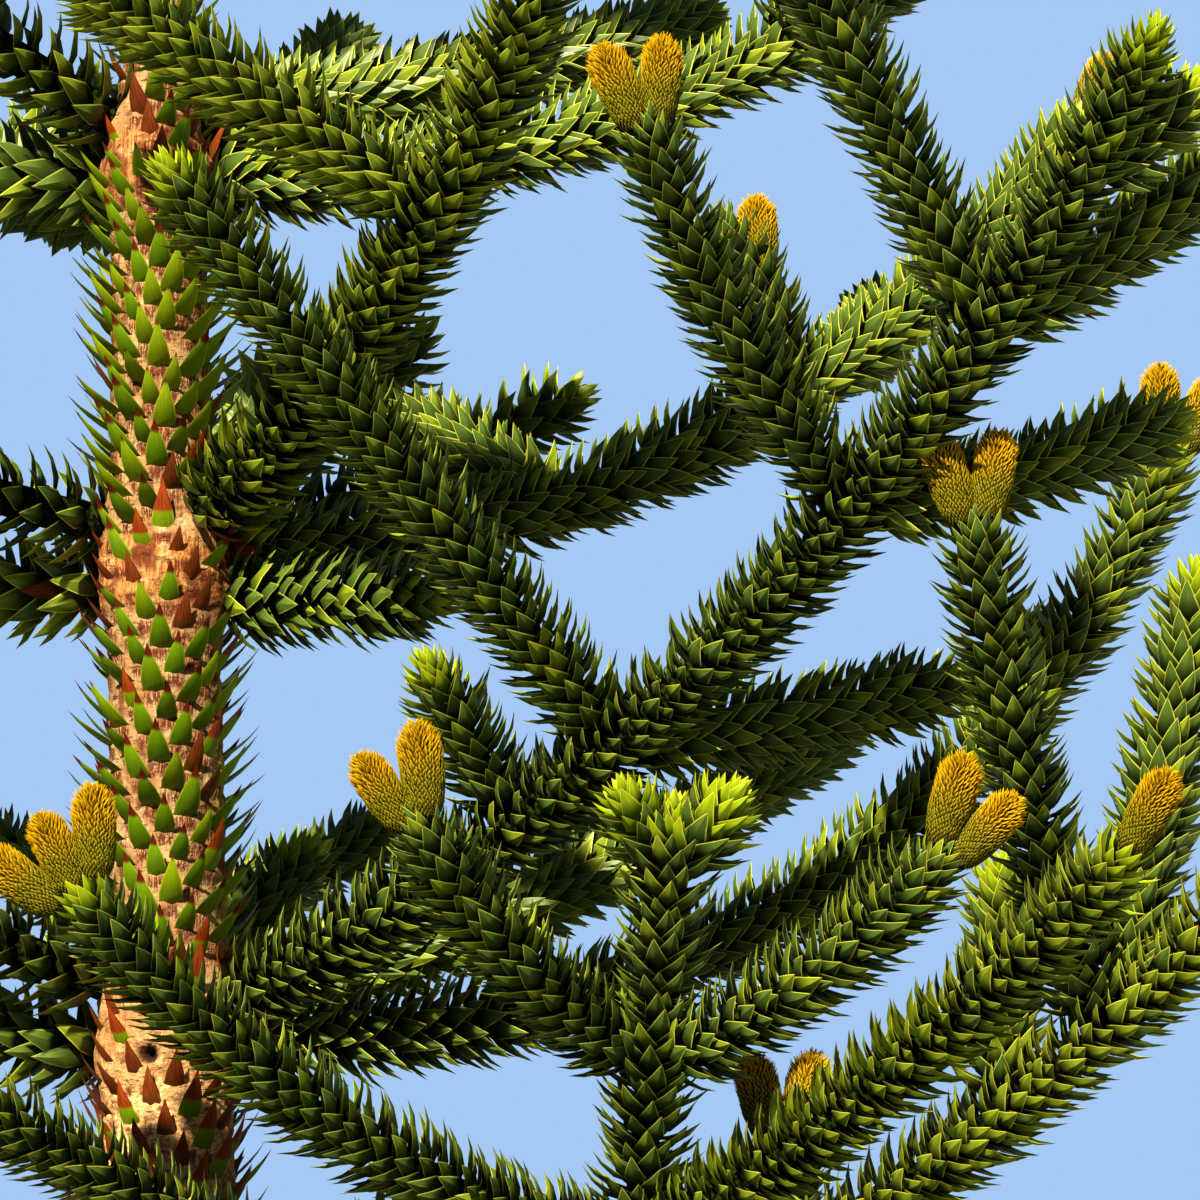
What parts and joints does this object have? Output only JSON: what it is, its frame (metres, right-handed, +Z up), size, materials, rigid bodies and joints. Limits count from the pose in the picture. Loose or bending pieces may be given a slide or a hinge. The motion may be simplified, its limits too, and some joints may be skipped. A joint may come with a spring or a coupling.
{
  "type": "monkey puzzle tree",
  "caption": "Young monkey puzzle tree with a tapering trunk, whorled boughs of rope-like leafy shoots that fork in pairs, and upright pollen cones.",
  "frame": {"origin": "middle of the flat cut under the trunk, at ground level", "axes": "+Z up along the trunk, +X to the right and +Y away from the viewer of the picture"},
  "size_m": [2.9463, 3.0917, 5.2018],
  "materials": {
    "bark": "rough, fissured",
    "limb": "covered in stiff leaves",
    "foliage": "stiff leaves with a dull gloss"
  },
  "bodies": {
    "root": {"trunk": "bark", "bough_main": "limb", "foliage_main": "foliage", "bough_right_back": "limb", "foliage_right_back": "foliage", "bough_near": "limb", "foliage_near": "foliage", "foliage_short_right": "foliage", "foliage_top_right": "foliage", "foliage_top_back_right": "foliage", "foliage_top_back": "foliage", "foliage_top_away": "foliage", "foliage_top_left": "foliage", "foliage_top_left_back": "foliage", "foliage_mid_left": "foliage", "foliage_mid_left_back": "foliage", "foliage_mid_away": "foliage", "foliage_low_left": "foliage", "foliage_low_left_back": "foliage", "foliage_low_away": "foliage", "bough_long_right": "limb", "foliage_long_right": "foliage", "foliage_light_right": "foliage", "bough_front": "limb", "foliage_front": "foliage", "bough_right_front": "limb", "foliage_right_front": "foliage", "foliage_fourth_right_back": "foliage", "foliage_fourth_away": "foliage", "foliage_fourth_left_back": "foliage", "foliage_fourth_left_front": "foliage", "foliage_fourth_near": "foliage", "foliage_top_1": "foliage", "foliage_top_2": "foliage", "foliage_top_3": "foliage", "foliage_crown_1": "foliage", "foliage_crown_2": "foliage", "foliage_crown_3": "foliage", "foliage_shoulder_1": "foliage", "foliage_shoulder_2": "foliage", "foliage_shoulder_3": "foliage", "foliage_shoulder_4": "foliage", "bough_fifth_1": "limb", "foliage_fifth_1": "foliage", "bough_fifth_2": "limb", "foliage_fifth_2": "foliage", "bough_fifth_3": "limb", "foliage_fifth_3": "foliage", "bough_fifth_4": "limb", "foliage_fifth_4": "foliage", "bough_fifth_5": "limb", "foliage_fifth_5": "foliage", "foliage_skirt_1": "foliage", "foliage_skirt_2": "foliage", "foliage_skirt_3": "foliage", "foliage_skirt_4": "foliage", "foliage_skirt_5": "foliage", "foliage_lowest_1": "foliage", "foliage_lowest_2": "foliage", "foliage_lowest_3": "foliage"}
  },
  "joints": []
}
